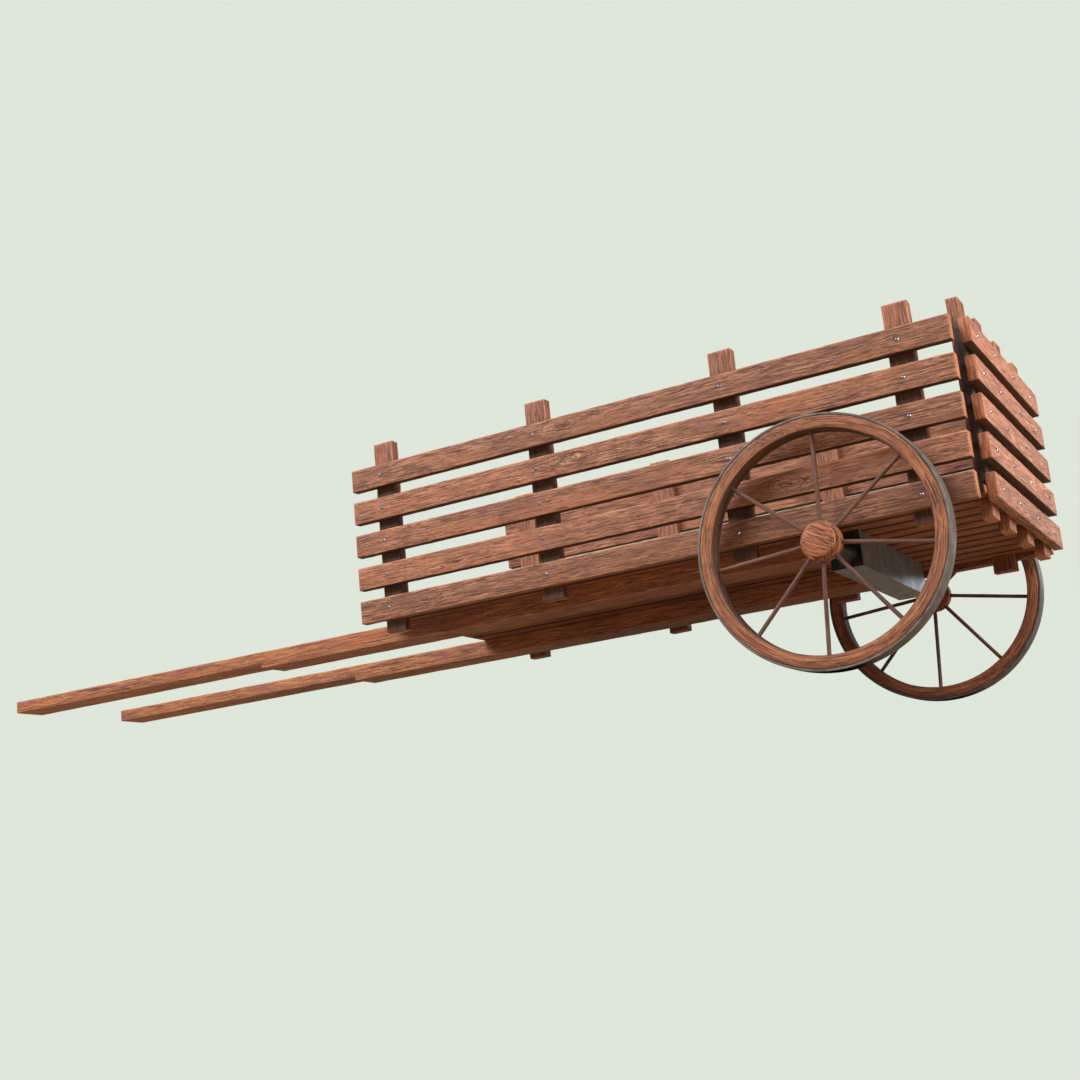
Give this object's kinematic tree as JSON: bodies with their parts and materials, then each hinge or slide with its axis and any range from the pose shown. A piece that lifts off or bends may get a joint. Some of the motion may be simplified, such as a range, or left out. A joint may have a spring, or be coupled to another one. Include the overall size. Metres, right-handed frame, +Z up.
{
  "type": "two-wheeled hand cart",
  "caption": "Slatted wooden hand cart with long shafts, an open-fronted screwed board body, a box-beam axle and spoked wooden wheels with steel tyres.",
  "frame": {"origin": "on the ground, at the middle of the overall length and width", "axes": "+X from the handles to the rear wall, +Y from the left wheel to the right wheel (left as seen by a person between the shafts, facing away from the body), +Z up with the floor level"},
  "size_m": [3.8181, 1.229, 1.005],
  "materials": {
    "wall_wood": "worn oiled, streaky grain, pale edges",
    "floor_wood": "worn oiled, darker",
    "shaft_wood": "worn oiled",
    "wheel_wood": "worn oiled, orange tone",
    "tyre_steel": "dull worn steel band",
    "axle_steel": "dark brushed",
    "screw_steel": "bright zinc"
  },
  "bodies": {
    "cart": {"axle_beam": "axle_steel", "axle_nuts": "screw_steel", "fasteners": "screw_steel", "floor_board_01": "floor_wood", "floor_board_02": "floor_wood", "floor_board_03": "floor_wood", "floor_board_04": "floor_wood", "floor_board_05": "floor_wood", "floor_board_06": "floor_wood", "floor_board_07": "floor_wood", "floor_board_08": "floor_wood", "floor_board_09": "floor_wood", "floor_board_10": "floor_wood", "floor_board_11": "floor_wood", "floor_cleat_1": "floor_wood", "floor_cleat_2": "floor_wood", "floor_cleat_3": "floor_wood", "floor_cleat_4": "floor_wood", "floor_cleat_5": "floor_wood", "left_post_1": "wall_wood", "left_post_2": "wall_wood", "left_post_3": "wall_wood", "left_post_4": "wall_wood", "left_shaft": "shaft_wood", "left_slat_1": "wall_wood", "left_slat_2": "wall_wood", "left_slat_3": "wall_wood", "left_slat_4": "wall_wood", "left_slat_5": "wall_wood", "left_stub_axle": "axle_steel", "rear_post_1": "wall_wood", "rear_post_2": "wall_wood", "rear_post_3": "wall_wood", "rear_post_4": "wall_wood", "rear_slat_1": "wall_wood", "rear_slat_2": "wall_wood", "rear_slat_3": "wall_wood", "rear_slat_4": "wall_wood", "rear_slat_5": "wall_wood", "right_post_1": "wall_wood", "right_post_2": "wall_wood", "right_post_3": "wall_wood", "right_post_4": "wall_wood", "right_shaft": "shaft_wood", "right_slat_1": "wall_wood", "right_slat_2": "wall_wood", "right_slat_3": "wall_wood", "right_slat_4": "wall_wood", "right_slat_5": "wall_wood", "right_stub_axle": "axle_steel"},
    "left_wheel": {"left_wheel_cap": "wheel_wood", "left_wheel_hub": "wheel_wood", "left_wheel_rim": "wheel_wood", "left_wheel_spokes": "wheel_wood", "left_wheel_tyre": "tyre_steel"},
    "right_wheel": {"right_wheel_cap": "wheel_wood", "right_wheel_hub": "wheel_wood", "right_wheel_rim": "wheel_wood", "right_wheel_spokes": "wheel_wood", "right_wheel_tyre": "tyre_steel"}
  },
  "joints": [
    {"name": "left_wheel_spin", "type": "hinge", "parent": "cart", "child": "left_wheel", "pos_m": [1.4485, -0.574, 0.3555], "axis": [0, 1, 0], "continuous": true},
    {"name": "right_wheel_spin", "type": "hinge", "parent": "cart", "child": "right_wheel", "pos_m": [1.4485, 0.574, 0.3555], "axis": [0, 1, 0], "continuous": true}
  ]
}
